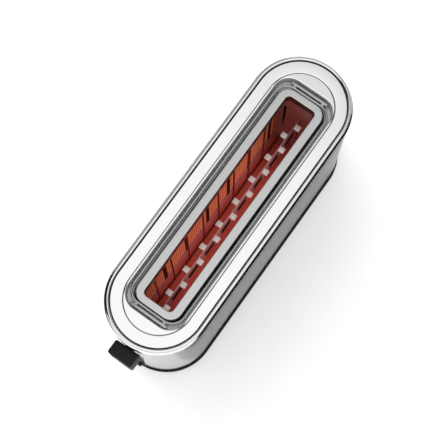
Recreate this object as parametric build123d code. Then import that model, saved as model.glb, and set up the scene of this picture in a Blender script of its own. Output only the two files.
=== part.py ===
# Long-slot toaster: an upright obround steel body with one long slot on top that takes two slices end to end.
# Millimetres, +Z up, X along the slot with the lever at -X, origin on the ground under the middle of the overall length.

import os
from math import cos, radians, sin, sqrt

from build123d import *

# Bread slot, which the rest of the top is set round
slot_length = 250.6
slot_width = 34.6
slot_corner = 5.0

# Overall height, sheet metal and clearances
body_height = 182.0  # ground to the crest of the rolled rim
sheet = 0.8  # steel of the shell and the cap
thin_sheet = 0.6  # steel of the inner sheets
slide_gap = 0.3  # side clearance of pieces that slide on flat faces
shaft_gap = 0.05  # radial clearance of a shaft in its hole
fit_gap = 0.2  # between the shell and what is pushed into it

# Base
foot_height = 3.0
foot_sink = 1.0  # how far a foot sits in its pocket
foot_radius = 8.0
foot_end_margin = 22.5  # from the chassis end plate to a foot's centre
foot_side_margin = 20.0  # from the shell's side to a foot's centre
base_floor = 2.5
base_rim = 5.5  # height of the black band over the base floor
base_proud = 1.5  # how far the band stands out past the shell
base_wall = 2.0
base_lip = 6.0  # upstand inside the shell
boss_height = 3.5  # pads under the chassis

# Rolled cap
cap_height = 12.0
rim_width = 4.4
rim_rise = 1.6  # crest of the rim over the flat top
rim_outer_round = 2.8
rim_inner_round = 1.4
cap_plate = 0.8
cap_tuck = 6.0  # wall of the cap pushed into the shell
seam_line = 0.6  # height of the groove between the cap and the shell
seam_depth = 0.4
ring_width = 16.9  # flat ring and rim, from the insert's seam to the outside
ring_run = 1.0  # how much farther out the shell's round ends are centred than the seam's

# Insert with the well for the bun rack
seam_gap = 0.3
seam_margin = 2.6  # from the side of the well to the seam
seam_run_back = 22.5  # from the end of the well to the centre of the seam's round end
insert_flange = 4.0
well_end_gap = 1.8  # round the bun rack
well_side_gap = 1.9
well_corner = 18.0
well_depth = 10.9

# Slot frame
frame_end_margin = 7.6  # from the slot's end to the frame's
frame_side_margin = 9.3
frame_corner = 13.0
frame_drop = 3.4  # top of the slot frame below the flat top
frame_sheet = 0.8
chute_depth = 16.0
frame_seat = 3.1  # width of well floor under the slot frame's wall

# Bun rack
rack_wire = 1.4  # radius
rack_end_gap = 2.0  # from the frame's end to the wire's centre
rack_side_gap = 3.6
rack_corner = 14.5
rack_drop = 4.9  # centre of the wire below the flat top
rack_lift = 35.0
bar_width = 3.4
bar_height = 3.0
bar_gap = 1.0  # between the end bar and the loop
bar_end_margin = 8.2  # from the loop's side to the bar's end
lug_margin = 5.0  # from the bar's end to a lug's middle
lug_width = 4.0
leg_margin = 6.0  # from the bar's end to a leg's middle
leg_width = 6.0
leg_thick = 2.0
leg_length = 62.0
leg_slot_gap = 0.5
guide_block_height = 14.0
guide_block_wall = 3.0
guide_block_below = 1.0  # how far a guide block reaches under a lifted leg's end

# Inner chassis
plate_end_gap = 2.2  # from the slot's end to the end plate
end_plate_sheet = 0.8
chassis_side_margin = 11.0  # from the shell's side to the end plate's edge
chassis_foot = 12.0
chassis_foot_width = 11.0
tray_notch_side = 2.5  # round the crumb tray
tray_notch_rise = 2.0
plate_slot_in = 1.3  # middle of an air slot inside the bread guide
plate_slot_half = 1.6
plate_slot_rise = 12.0  # over the lower edge of the heater board
plate_slot_fall = 30.0  # under the lower edge of the slot frame
screw_radius = 1.5
screw_hole_gap = 0.15
screw_head_radius = 3.0
screw_head_height = 1.8
screw_reach = 3.0  # thread past the chassis foot

# Heaters
board_side_gap = 6.4  # from the bread guide's pivot to the insulating board
board_thick = 0.8
board_low = 40.0
board_top_gap = 1.0  # under the slot frame
reflector_gap = 2.5  # behind the board
reflector_rise = 3.0  # above the slot frame's lower edge
reflector_lip = 3.0
ribbon_width = 1.0
ribbon_thick = 0.4
ribbon_margin = 4.0  # bare board above and below the ribbon
ribbon_end = 10.5  # bare board at each end
ribbon_runs = 79
clip_end = 30.0  # from the end plate to the first clip
clip_count = 6
clip_shift = 13.8  # the row of clips sits nearer the terminal block
clip_width = 5.0
clip_thick = 0.5
clip_stand_off = 0.8
clip_hook = 1.5

# Bread guides
guide_side_gap = 3.2  # from the slot's side to the pivot
guide_pivot_rise = 8.0  # over the chassis notch for the tray
guide_pivot_radius = 1.5
guide_wire = 1.0  # radius
guide_top_gap = 5.0  # under the slot frame
guide_end_gap = 9.5
guide_wires = 8
guide_pitch = 28.0
guide_shift = -6.5  # the wires keep clear of the clips
guide_end_stop = 3.0  # pivot rod past the end plate

# Bread carriage
rack_rise = 41.0  # from the raised tabs to the slot frame's lower edge
rack_low = 54.0  # tabs at the lowest position, over the ground
carriage_half_sheet = 0.6
carriage_depth = 36.0
strip_end_gap = 3.5
tab_end = 6.0  # from the strip's end to the middle of the last tab
tab_count = 17
tab_size = 6.3
tail_length = 8.0  # strip past the rear end plate's inner face
tail_low = 12.0  # below the tabs
tail_high = 2.0
slot_side_gap = 0.6

# Slider, guide rod and lift spring
rod_stand_off = 21.7  # from the front end plate to the rod's centre
rod_radius = 3.0
rod_boss_radius = 7.0
rod_boss_height = 7.0
slider_half_x = 7.0
slider_half_y = 8.0
slider_under = 20.0  # below the tabs
slider_over = 20.0
bracket_thick = 2.0
bracket_half_width = 8.5
bracket_past_rod = 6.0
spring_radius = 5.2
spring_wire = 0.6
spring_turns = 9
magnet_height = 21.5
magnet_half_x = 7.0
magnet_width = 14.0
armature_thick = 3.0
armature_gap = 0.3

# Lever
arm_half_thick = 1.5
arm_rise = 12.0  # over the tabs
arm_height = 8.0
arm_in_knob = 7.0
knob_gap = 1.2
knob_reach = 16.5
knob_half_width = 14.0
knob_under = 8.0  # below the arm
knob_over = 20.0  # above the arm
knob_round = 2.5
lever_slot_half = 3.2
lever_slot_spare = 3.0  # slot past the arm at each end of its travel
liner_wall = 1.4
liner_proud = 0.5
liner_depth = 3.0

# Black strip down the lever end, round the lower part of the lever's slot
strip_half = 9.5
strip_thick = 0.6
strip_rise = 1.0  # over the shell's lower edge
strip_under = 21.0  # below the top of the lever's slot, where the knob covers its end

# Browning dial and its potentiometer
dial_rise = 25.0  # over the black band
dial_radius = 8.0
dial_depth = 3.6
dial_gap = 0.3
dial_round = 1.2
dial_mark_width = 1.2
dial_mark_depth = 0.6
bezel_wall = 1.2
bezel_proud = 1.0
dial_shaft_radius = 3.0
dial_shaft_in = 2.4
pot_radius = 9.0
pot_depth = 7.0
pot_bracket_sheet = 1.5
pot_bracket_half = 12.0
pot_bracket_rise = 18.0  # over the dial's centre

# Push buttons, on a radial line of the round end
button_angle = 30.0
button_low = 78.0
button_pitch = 18.0
button_radius = 4.5
button_proud = 1.6
button_flange = 1.0
button_travel = 1.0
button_stem_radius = 2.0
button_hole_gap = 0.3
button_housing_depth = 7.0
button_housing_half = 8.0
button_housing_end = 8.0
switch_gap = 1.2
switch_board_thick = 1.6
switch_size = 6.0
switch_depth = 3.5

# Control board and mains parts
circuit_stand_off = 8.1
circuit_thick = 1.6
circuit_width = 26.0
circuit_side_margin = 9.0  # from the shell's side
circuit_z_low = 34.0
circuit_leg_gap = 4.0  # under the bun rack's legs
spacer_radius = 3.0
terminal_half = 11.0
terminal_side_gap = 13.0  # from the middle of the carriage's tail to the block
terminal_depth = 12.0
terminal_low = 52.0
terminal_height = 14.0
terminal_screw_radius = 1.6
terminal_screw_depth = 3.0
gland_z = 40.0
gland_bore = 3.6
gland_radius = 6.5
gland_flange = 8.5
gland_flange_thick = 2.0
gland_inside = 4.0

# Crumb tray
tray_side_margin = 0.6  # past the heater board's inner face
tray_sheet = 0.8
tray_wall_height = 6.5
tray_front_gap = 5.5  # short of the front end plate
tray_face_depth = 12.0
tray_face_margin = 0.9
tray_face_lift = 0.5  # over the base floor
tray_face_height = 17.6
tray_face_wall = 2.4
tray_mouth_gap = 0.6
tray_lip_reach = 6.0
tray_lip_half = 15.0
tray_lip_rise = 10.0  # over the face's lower edge
tray_lip_thick = 3.0
rail_height = 2.0
rail_margin = 7.5
rail_width = 3.0

# Places along and across, from the slot outwards
slot_half_length = slot_length / 2
slot_half_width = slot_width / 2
frame_half_length = slot_half_length + frame_end_margin
frame_half_width = slot_half_width + frame_side_margin
rack_half_length = frame_half_length + rack_end_gap
rack_half_width = frame_half_width + rack_side_gap
bar_x = rack_half_length + rack_wire + bar_gap + bar_width / 2
bar_half_length = rack_half_width - bar_end_margin
lug_y = bar_half_length - lug_margin
leg_y = bar_half_length - leg_margin
well_half_length = bar_x + bar_width / 2 + well_end_gap
well_half_width = rack_half_width + rack_wire + well_side_gap
seam_radius = well_half_width + seam_margin
seam_run = well_half_length - seam_run_back
end_radius = seam_radius + ring_width
half_run = seam_run + ring_run
half_body = half_run + end_radius
inner_radius = end_radius - sheet
body_shift = (knob_reach - tray_lip_reach) / 2  # puts the origin under the middle of the overall length

end_plate_x = slot_half_length + plate_end_gap
end_plate_half_width = end_radius - chassis_side_margin
foot_x = end_plate_x - foot_end_margin
foot_y = end_radius - foot_side_margin
guide_y = slot_half_width + guide_side_gap
guide_half_run = end_plate_x - guide_end_gap
board_y = guide_y + board_side_gap
reflector_y = board_y + board_thick + reflector_gap
plate_slot_y = guide_y - plate_slot_in
ribbon_pitch = 2 * (end_plate_x - ribbon_end) / (ribbon_runs - 1)
clip_pitch = 2 * (end_plate_x - clip_end) / (clip_count - 1)
strip_half_length = end_plate_x - strip_end_gap
tab_pitch = 2 * (strip_half_length - tab_end) / (tab_count - 1)
tab_x = [(i - (tab_count - 1) / 2) * tab_pitch for i in range(tab_count)]
rod_x = end_plate_x + end_plate_sheet + rod_stand_off
circuit_x = end_plate_x + end_plate_sheet + circuit_stand_off + circuit_thick
circuit_y_high = end_radius - circuit_side_margin
circuit_y_low = circuit_y_high - circuit_width
tray_half_width = board_y + tray_side_margin
tray_front_x = end_plate_x - tray_front_gap
tray_back_x = half_body - tray_face_depth
tray_face_half_width = tray_half_width + tray_face_margin
tray_notch_half = tray_half_width + tray_notch_side
rail_y = tray_half_width - rail_margin
terminal_y = terminal_side_gap + terminal_half

# Heights, from the ground up
base_low = foot_height
base_floor_top = base_low + base_floor
shell_low = base_floor_top + base_rim
chassis_low = base_floor_top + boss_height
tray_low = base_floor_top + rail_height
tray_notch_top = tray_low + tray_wall_height + tray_notch_rise
skirt_low = tray_notch_top
tray_face_low = base_floor_top + tray_face_lift
tray_face_high = tray_face_low + tray_face_height
tray_lip_low = tray_face_low + tray_lip_rise
tray_lip_high = tray_lip_low + tray_lip_thick
guide_pivot_z = tray_notch_top + guide_pivot_rise
plate_slot_low = board_low + plate_slot_rise
dial_z = shell_low + dial_rise
pot_bracket_top = dial_z + pot_bracket_rise
button_z = (button_low, button_low + button_pitch, button_low + 2 * button_pitch)
terminal_high = terminal_low + terminal_height

# Heights, from the top down
cap_low = body_height - cap_height
shell_top = cap_low - seam_line
flat_top = body_height - rim_rise
plate_low = flat_top - cap_plate
well_floor = flat_top - well_depth
well_under = well_floor - thin_sheet
frame_top = flat_top - frame_drop
chute_low = frame_top - chute_depth
board_high = chute_low - board_top_gap
reflector_high = chute_low + reflector_rise
guide_top = chute_low - guide_top_gap
plate_slot_high = chute_low - plate_slot_fall
rack_z = flat_top - rack_drop
leg_low = rack_z - bar_height / 2 - leg_length
guide_block_low = leg_low + rack_lift - guide_block_below
bracket_low = guide_block_low + guide_block_height
circuit_z_high = leg_low - circuit_leg_gap
rack_top = chute_low - rack_rise
carriage_travel = rack_top - rack_low
slider_low = rack_top - slider_under
slider_high = rack_top + slider_over
arm_low = rack_top + arm_rise
arm_high = arm_low + arm_height
knob_low = arm_low - knob_under
knob_high = arm_high + knob_over
arm_slot_low = arm_low - carriage_travel - lever_slot_spare
arm_slot_high = arm_high + lever_slot_spare

os.makedirs("parts", exist_ok=True)


def save(name, *pieces):
    whole = Compound(children=[s for p in pieces for s in p.solids()])
    export_step(Pos(body_shift, 0, 0) * whole, f"parts/{name}.step")


def obround(run, radius, low, high):
    return extrude(Pos(0, 0, low) * SlotCenterToCenter(2 * run, 2 * radius), high - low)


def rounded_block(half_x, half_y, corner, low, high):
    return extrude(Pos(0, 0, low) * RectangleRounded(2 * half_x, 2 * half_y, corner), high - low)


def block(x0, x1, y0, y1, z0, z1):
    middle = Pos((x0 + x1) / 2, (y0 + y1) / 2, (z0 + z1) / 2)
    return middle * Box(abs(x1 - x0), abs(y1 - y0), abs(z1 - z0))


def rod_along_x(x0, x1, y, z, radius):
    return Pos((x0 + x1) / 2, y, z) * Rot(0, 90, 0) * Cylinder(radius, abs(x1 - x0))


def rod_along_z(x, y, z0, z1, radius):
    return Pos(x, y, (z0 + z1) / 2) * Cylinder(radius, z1 - z0)


def wall_x(radius, y):
    # Distance from the body's middle to a round end's wall of this radius, at y.
    return half_run + sqrt(radius**2 - y**2)


# Base plate, feet and base screws

chassis_foot_x = end_plate_x + end_plate_sheet + chassis_foot / 2
chassis_foot_y = end_plate_half_width - chassis_foot_width / 2
screw_places = [(sx * chassis_foot_x, sy * chassis_foot_y) for sx in (-1, 1) for sy in (-1, 1)]
foot_places = [(sx * foot_x, sy * foot_y) for sx in (-1, 1) for sy in (-1, 1)]
mouth_half = tray_face_half_width + tray_mouth_gap


def make_base_plate():
    outer = end_radius + base_proud
    lip = inner_radius - fit_gap
    plate = obround(half_run, outer, base_low, shell_low)
    plate -= obround(half_run, lip - base_wall, base_floor_top, shell_low)
    plate += obround(half_run, lip, shell_low, shell_low + base_lip) - obround(
        half_run, lip - base_wall, shell_low, shell_low + base_lip
    )
    for sy in (-1, 1):
        plate += block(
            -tray_front_x, tray_back_x, sy * rail_y, sy * (rail_y + rail_width), base_floor_top, tray_low
        )
    for x, y in screw_places:
        plate += block(
            x - chassis_foot / 2, x + chassis_foot / 2, y - chassis_foot_width / 2, y + chassis_foot_width / 2,
            base_floor_top, chassis_low,
        )
    plate += rod_along_z(-rod_x, 0, base_floor_top, base_floor_top + rod_boss_height, rod_boss_radius)
    plate -= rod_along_z(-rod_x, 0, base_floor_top, base_floor_top + rod_boss_height, rod_radius + shaft_gap)
    mouth_top = shell_low + base_lip
    plate -= block(tray_back_x - rail_width, half_body + base_wall, -mouth_half, mouth_half, base_floor_top, mouth_top)
    for x, y in screw_places:
        plate -= rod_along_z(x, y, base_low, chassis_low, screw_radius + screw_hole_gap)
        plate -= rod_along_z(x, y, base_low, base_low + screw_head_height, screw_head_radius + screw_hole_gap)
    for x, y in foot_places:
        plate -= rod_along_z(x, y, base_low, base_low + foot_sink, foot_radius)
    return plate


def make_feet():
    foot = Cylinder(foot_radius, foot_height + foot_sink, align=(Align.CENTER, Align.CENTER, Align.MIN))
    foot = chamfer(foot.edges().group_by(Axis.Z)[0], foot_sink)
    return [Pos(x, y, 0) * foot for x, y in foot_places]


def make_base_screws():
    top = chassis_low + end_plate_sheet + screw_reach
    return [
        rod_along_z(x, y, base_low, base_low + screw_head_height, screw_head_radius)
        + rod_along_z(x, y, base_low + screw_head_height, top, screw_radius)
        for x, y in screw_places
    ]


# Steel shell with its openings


def at_end_angle(shape):
    # Turns a shape made along -X from a round end's centre to the push buttons' place.
    return Pos(-half_run, 0, 0) * Rot(0, 0, -button_angle) * shape


def end_rod(radius, r0, r1, z):
    # A rod from r0 to r1 out of the lever end's centre, along the push buttons' line.
    return at_end_angle(rod_along_x(-r0, -r1, 0, z, radius))


def make_shell():
    shell = obround(half_run, end_radius, shell_low, shell_top)
    shell -= obround(half_run, inner_radius, shell_low, shell_top)
    liner_half = lever_slot_half + liner_wall
    shell -= block(
        -half_body - sheet, -half_body + 2 * sheet, -liner_half, liner_half,
        arm_slot_low - liner_wall, arm_slot_high + liner_wall,
    )
    shell -= rod_along_x(-half_body - sheet, -half_body + 3 * sheet, 0, dial_z, dial_shaft_radius + fit_gap)
    for z in button_z:
        shell -= end_rod(button_radius + button_hole_gap, inner_radius - sheet, end_radius + sheet, z)
    face_top = tray_face_high + tray_mouth_gap
    shell -= block(half_run, half_body + sheet, -mouth_half, mouth_half, shell_low, face_top)
    shell -= rod_along_x(half_body - 2 * sheet, half_body + sheet, 0, gland_z, gland_radius)
    return shell


# Cap with the rolled rim


def make_top_cap():
    cap = obround(half_run, end_radius, cap_low, body_height)
    cap = fillet(cap.faces().sort_by(Axis.Z)[-1].edges(), rim_outer_round)
    cap -= obround(half_run, end_radius - rim_width, flat_top, body_height)
    crest = cap.faces().sort_by(Axis.Z)[-1]
    cap = cap.fillet(rim_inner_round, crest.inner_wires()[0].edges())
    cap -= obround(half_run, end_radius - sheet, cap_low, flat_top - rim_outer_round)
    cap -= obround(half_run, end_radius - rim_width - sheet, cap_low, plate_low)
    tuck_radius = inner_radius - fit_gap
    tuck = obround(half_run, tuck_radius, cap_low - cap_tuck, shell_top)
    tuck += obround(half_run, end_radius - seam_depth, shell_top, cap_low + sheet)
    cap += tuck - obround(half_run, tuck_radius - sheet, cap_low - cap_tuck, cap_low + sheet)
    return cap - obround(seam_run, seam_radius, plate_low, flat_top)


# Insert: flat obround plate inside the seam, with the well that the bun rack lies in


def make_top_insert():
    insert = obround(seam_run, seam_radius - seam_gap, plate_low, flat_top)
    insert += obround(seam_run, seam_radius + insert_flange, plate_low - thin_sheet, plate_low)
    well_outer = rounded_block(
        well_half_length + thin_sheet, well_half_width + thin_sheet, well_corner + thin_sheet, well_under, flat_top - cap_plate
    )
    insert += well_outer
    insert -= rounded_block(well_half_length, well_half_width, well_corner, well_floor, flat_top)
    insert -= rounded_block(
        frame_half_length - frame_seat, frame_half_width - frame_seat, frame_corner - frame_seat, well_under, well_floor
    )
    slot_half_x = leg_thick / 2 + leg_slot_gap
    slot_half_y = leg_width / 2 + leg_slot_gap
    for sx in (-1, 1):
        for sy in (-1, 1):
            x = sx * bar_x
            y = sy * leg_y
            insert -= block(x - slot_half_x, x + slot_half_x, y - slot_half_y, y + slot_half_y, well_under, well_floor)
    return insert


def make_slot_frame():
    frame = rounded_block(frame_half_length, frame_half_width, frame_corner, well_floor, frame_top)
    top_edges = frame.edges().filter_by_position(Axis.Z, frame_top - 0.01, frame_top + 0.01)
    frame = fillet(top_edges, frame_sheet)
    frame -= rounded_block(
        frame_half_length - frame_sheet, frame_half_width - frame_sheet, frame_corner - frame_sheet,
        well_floor, frame_top - frame_sheet,
    )
    frame += rounded_block(
        slot_half_length + frame_sheet, slot_half_width + frame_sheet, slot_corner + frame_sheet,
        chute_low, frame_top - frame_sheet,
    )
    return frame - rounded_block(slot_half_length, slot_half_width, slot_corner, chute_low, frame_top)


# Bun rack: a wire loop with a bar at each end, on four legs that slide in guide blocks


def make_bun_rack():
    outline = RectangleRounded(2 * rack_half_length, 2 * rack_half_width, rack_corner).wire()
    start = outline.position_at(0)
    section = Plane(origin=start, z_dir=outline.tangent_at(0)) * Circle(rack_wire)
    rack = Pos(0, 0, rack_z) * sweep(section, path=outline)
    for sx in (-1, 1):
        bar = SlotOverall(2 * bar_half_length, bar_width, rotation=90)
        rack += Pos(sx * bar_x, 0, rack_z - bar_height / 2) * extrude(bar, bar_height)
        for sy in (-1, 1):
            rack += block(
                sx * rack_half_length, sx * bar_x, sy * lug_y - lug_width / 2, sy * lug_y + lug_width / 2,
                rack_z - bar_height / 4, rack_z + bar_height / 4,
            )
    return rack


def make_bun_rack_legs():
    top = rack_z - bar_height / 2
    return [
        block(
            sx * bar_x - leg_thick / 2, sx * bar_x + leg_thick / 2,
            sy * leg_y - leg_width / 2, sy * leg_y + leg_width / 2, leg_low, top,
        )
        for sx in (-1, 1)
        for sy in (-1, 1)
    ]


def make_rack_guides(sx):
    x_plate = sx * (end_plate_x + end_plate_sheet)
    x_far = sx * (bar_x + leg_thick / 2 + slide_gap + guide_block_wall)
    guides = []
    for sy in (-1, 1):
        y_half = leg_width / 2 + slide_gap
        guide = block(
            x_plate, x_far, sy * leg_y - y_half - guide_block_wall, sy * leg_y + y_half + guide_block_wall,
            guide_block_low, guide_block_low + guide_block_height,
        )
        x_half = leg_thick / 2 + slide_gap
        guide -= block(
            sx * bar_x - x_half, sx * bar_x + x_half, sy * leg_y - y_half, sy * leg_y + y_half,
            guide_block_low, guide_block_low + guide_block_height,
        )
        guides.append(guide)
    return guides


# Chassis end plates


def make_end_plate(sx):
    x_in = sx * end_plate_x
    x_out = sx * (end_plate_x + end_plate_sheet)
    plate = block(x_in, x_out, -end_plate_half_width, end_plate_half_width, chassis_low, well_under)
    plate -= block(x_in, x_out, -tray_notch_half, tray_notch_half, chassis_low, tray_notch_top)
    slot_half = carriage_half_sheet + slot_side_gap
    slot_low = rack_top - tail_low - carriage_travel - lever_slot_spare
    plate -= block(x_in, x_out, -slot_half, slot_half, slot_low, rack_top - tail_high + lever_slot_spare)
    for sy in (-1, 1):
        plate -= block(
            x_in, x_out, sy * plate_slot_y - plate_slot_half, sy * plate_slot_y + plate_slot_half,
            plate_slot_low, plate_slot_high,
        )
        plate -= rod_along_x(x_in, x_out, sy * guide_y, guide_pivot_z, guide_pivot_radius + shaft_gap)
        foot_in = end_plate_half_width - chassis_foot_width
        plate += block(
            x_in, sx * (end_plate_x + end_plate_sheet + chassis_foot), sy * foot_in, sy * end_plate_half_width,
            chassis_low, chassis_low + end_plate_sheet,
        )
    for x, y in screw_places:
        plate -= rod_along_z(x, y, chassis_low, chassis_low + end_plate_sheet, screw_radius + screw_hole_gap)
    return plate


# Heaters: reflector, insulating board, ribbon and clips on each side of the slot


def make_reflector(sy):
    skirt_y = board_y - slide_gap

    def strip(y0, y1, z0, z1):
        return block(-end_plate_x, end_plate_x, sy * y0, sy * y1, z0, z1)

    reflector = strip(skirt_y, skirt_y + thin_sheet, skirt_low, board_low)
    reflector += strip(skirt_y, reflector_y + thin_sheet, board_low - thin_sheet, board_low)
    reflector += strip(reflector_y, reflector_y + thin_sheet, board_low - thin_sheet, reflector_high)
    reflector += strip(reflector_y, reflector_y + reflector_lip, reflector_high - thin_sheet, reflector_high)
    return reflector + strip(skirt_y, skirt_y + reflector_lip, skirt_low, skirt_low + thin_sheet)


def make_board(sy):
    return block(-end_plate_x, end_plate_x, sy * board_y, sy * (board_y + board_thick), board_low, board_high)


def make_ribbon(sy):
    # One flat ribbon that runs up and down the board: its outline goes out along one edge and back along the other.
    low = board_low + ribbon_margin
    high = board_high - ribbon_margin
    half = ribbon_width / 2
    out = []
    back = []
    for i in range(ribbon_runs):
        x = (i - (ribbon_runs - 1) / 2) * ribbon_pitch
        rising = i % 2 == 0
        side = half if rising else -half
        ends = (low, high) if rising else (high, low)
        out += [(x - side, ends[0]), (x - side, ends[1])]
        back += [(x + side, ends[0]), (x + side, ends[1])]
        if rising:
            out[-2] = (x - side, low + ribbon_width if i else low)
            back[-1] = (x + side, high - ribbon_width if i < ribbon_runs - 1 else high)
        else:
            out[-1] = (x - side, low + ribbon_width)
            back[-2] = (x + side, high - ribbon_width)
    outline = Plane.XZ * make_face(Polyline(*out, *back[::-1], close=True))
    y = sy * (board_y - ribbon_thick) if sy > 0 else sy * board_y
    return extrude(Pos(0, y, 0) * outline, ribbon_thick, dir=(0, 1, 0))


def make_clips(sy):
    clips = []
    low = board_low + clip_hook / 2
    high = board_high - clip_hook / 2
    front = board_y - clip_stand_off
    for i in range(clip_count):
        x = clip_shift + (i - (clip_count - 1) / 2) * clip_pitch
        clip = block(
            x - clip_width / 2, x + clip_width / 2, sy * (front - clip_thick), sy * front, low, high
        )
        for z in (low, high - clip_hook):
            clip += block(
                x - clip_width / 2, x + clip_width / 2, sy * (front - clip_thick), sy * board_y, z, z + clip_hook
            )
        clips.append(clip)
    return clips


# Bread guides: upright wires on a rod that turns in the end plates


def make_bread_guide(sy):
    y = sy * guide_y
    reach = end_plate_x + end_plate_sheet + guide_end_stop
    pivot = rod_along_x(-reach, reach, y, guide_pivot_z, guide_pivot_radius)
    top_wire = rod_along_x(-guide_half_run, guide_half_run, y, guide_top, guide_wire)
    wires = [
        rod_along_z(guide_shift + (i - (guide_wires - 1) / 2) * guide_pitch, y, guide_pivot_z, guide_top, guide_wire)
        for i in range(guide_wires)
    ]
    return pivot + [top_wire] + wires


# Bread carriage: an upright strip with tabs bent left and right in turn, and a tail through each end plate


def make_bread_carriage():
    half = carriage_half_sheet
    tabs = []
    for i, x in enumerate(tab_x):
        side = 1 if i % 2 else -1
        tabs.append(block(x - tab_size / 2, x + tab_size / 2, 0, side * (half + tab_size), rack_top - 2 * half, rack_top))
    tail_z = (rack_top - tail_low, rack_top - tail_high)
    strip = block(-strip_half_length, strip_half_length, -half, half, rack_top - carriage_depth, rack_top)
    tails = [
        block(0, end_plate_x + tail_length, -half, half, *tail_z),
        block(-rod_x + slider_half_x, 0, -half, half, *tail_z),
    ]
    return strip + tails + tabs


# Slider on its guide rod, with the lift spring, latch magnet and lever


def make_slider():
    slider = block(
        -rod_x - slider_half_x, -rod_x + slider_half_x, -slider_half_y, slider_half_y, slider_low, slider_high
    )
    slider = fillet(slider.edges().filter_by(Axis.Z), 1.0)
    return slider - rod_along_z(-rod_x, 0, slider_low, slider_high, rod_radius + shaft_gap)


def make_rod_bracket():
    x_plate = -(end_plate_x + end_plate_sheet)
    x_far = -(rod_x + bracket_past_rod)
    bracket = block(x_far, x_plate, -bracket_half_width, bracket_half_width, bracket_low, bracket_low + bracket_thick)
    return bracket - rod_along_z(-rod_x, 0, bracket_low, bracket_low + bracket_thick, rod_radius + shaft_gap)


def make_lift_spring():
    low = base_floor_top + rod_boss_height + spring_wire
    high = slider_low - spring_wire
    coil = Helix(pitch=(high - low) / spring_turns, height=high - low, radius=spring_radius)
    section = Plane(origin=coil.position_at(0), z_dir=coil.tangent_at(0)) * Circle(spring_wire)
    return Pos(-rod_x, 0, low) * sweep(section, path=coil)


magnet_y = slider_half_y + slide_gap
magnet_top = slider_low - carriage_travel - armature_gap


def make_latch_magnet():
    low = magnet_top - magnet_height
    core = block(
        -rod_x - magnet_half_x, -rod_x + magnet_half_x, -magnet_y - magnet_width, -magnet_y, low, magnet_top
    )
    stand_half = magnet_half_x / 2
    stand_y = magnet_y + magnet_width / 4
    stand = block(
        -rod_x - stand_half, -rod_x + stand_half, -magnet_y - magnet_width, -stand_y, base_floor_top, low
    )
    return core + stand


def make_latch_armature():
    return block(
        -rod_x - magnet_half_x, -rod_x + magnet_half_x, -magnet_y - magnet_width, -slider_half_y,
        slider_low, slider_low + armature_thick,
    )


def make_lever_arm():
    x_knob = -(half_body + knob_gap + arm_in_knob)
    return block(x_knob, -rod_x - slider_half_x, -arm_half_thick, arm_half_thick, arm_low, arm_high)


def make_lever_knob():
    x_in = -(half_body + knob_gap)
    knob = block(-(half_body + knob_reach), x_in, -knob_half_width, knob_half_width, knob_low, knob_high)
    outer = knob.faces().sort_by(Axis.X)[0].edges()
    knob = fillet(outer, knob_round)
    return knob - block(x_in - arm_in_knob, x_in, -arm_half_thick, arm_half_thick, arm_low, arm_high)


def make_lever_slot_liner():
    outer_half = lever_slot_half + liner_wall - fit_gap
    liner = block(
        -(half_body + liner_proud), -(half_body - sheet - liner_depth), -outer_half, outer_half,
        arm_slot_low - liner_wall + fit_gap, arm_slot_high + liner_wall - fit_gap,
    )
    flange_half = outer_half + liner_wall
    flange = block(
        -(wall_x(inner_radius, flange_half) - fit_gap), -(half_body - sheet - liner_depth), -flange_half, flange_half,
        arm_slot_low - 2 * liner_wall, arm_slot_high + 2 * liner_wall,
    )
    return liner + flange - block(
        -(half_body + knob_gap), -(half_body - 2 * liner_depth), -lever_slot_half, lever_slot_half,
        arm_slot_low, arm_slot_high,
    )


# Black strip outside the shell, over the lever slot's edges and behind the dial


def make_control_strip():
    low = shell_low + strip_rise
    high = arm_slot_high - strip_under
    strip = obround(half_run, end_radius + strip_thick, low, high) - obround(half_run, end_radius + fit_gap, low, high)
    strip &= block(-half_body - strip_thick, -half_run, -strip_half, strip_half, low, high)
    liner_half = lever_slot_half + liner_wall
    strip -= block(
        -half_body - strip_thick, -half_run, -liner_half, liner_half,
        arm_slot_low - liner_wall, arm_slot_high + liner_wall,
    )
    return strip - rod_along_x(-half_body - strip_thick, -half_run, 0, dial_z, dial_shaft_radius + fit_gap)


# Browning dial


def make_browning_dial():
    back = -(half_body + bezel_proud + dial_gap)
    dial = rod_along_x(back, back - dial_depth, 0, dial_z, dial_radius)
    dial = fillet(dial.faces().sort_by(Axis.X)[0].edges(), dial_round)
    dial -= block(
        back - dial_depth, back - dial_depth + dial_mark_depth, -dial_mark_width / 2, dial_mark_width / 2,
        dial_z + dial_radius / 3, dial_z + dial_radius,
    )
    return dial - rod_along_x(back, back - dial_shaft_in, 0, dial_z, dial_shaft_radius)


def make_dial_bezel():
    front = -(half_body + bezel_proud)
    bezel = rod_along_x(front, -half_run, 0, dial_z, dial_radius + bezel_wall)
    bezel -= obround(half_run, end_radius + strip_thick, 0, body_height)
    return bezel - rod_along_x(front, -half_run, 0, dial_z, dial_shaft_radius + fit_gap)


pot_front = wall_x(inner_radius, 0) - liner_depth
pot_back = pot_front - pot_depth


def make_dial_shaft():
    tip = -(half_body + bezel_proud + dial_gap + dial_shaft_in)
    return rod_along_x(tip, -pot_back, 0, dial_z, dial_shaft_radius)


def make_potentiometer():
    pot = rod_along_x(-pot_front, -pot_back, 0, dial_z, pot_radius)
    return pot - rod_along_x(-pot_front, -pot_back, 0, dial_z, dial_shaft_radius + shaft_gap)


def make_pot_bracket():
    x0 = -pot_back
    x1 = x0 + pot_bracket_sheet
    return block(x0, x1, -pot_bracket_half, pot_bracket_half, base_floor_top, pot_bracket_top)


# Push buttons behind their own housing and switch board

button_seat = inner_radius - fit_gap - button_flange  # inner face of a released button's flange
housing_outer = button_seat - button_travel - slide_gap
housing_inner = housing_outer - button_housing_depth
stem_end = housing_inner - switch_gap
board_outer = stem_end - button_travel - switch_depth


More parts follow.
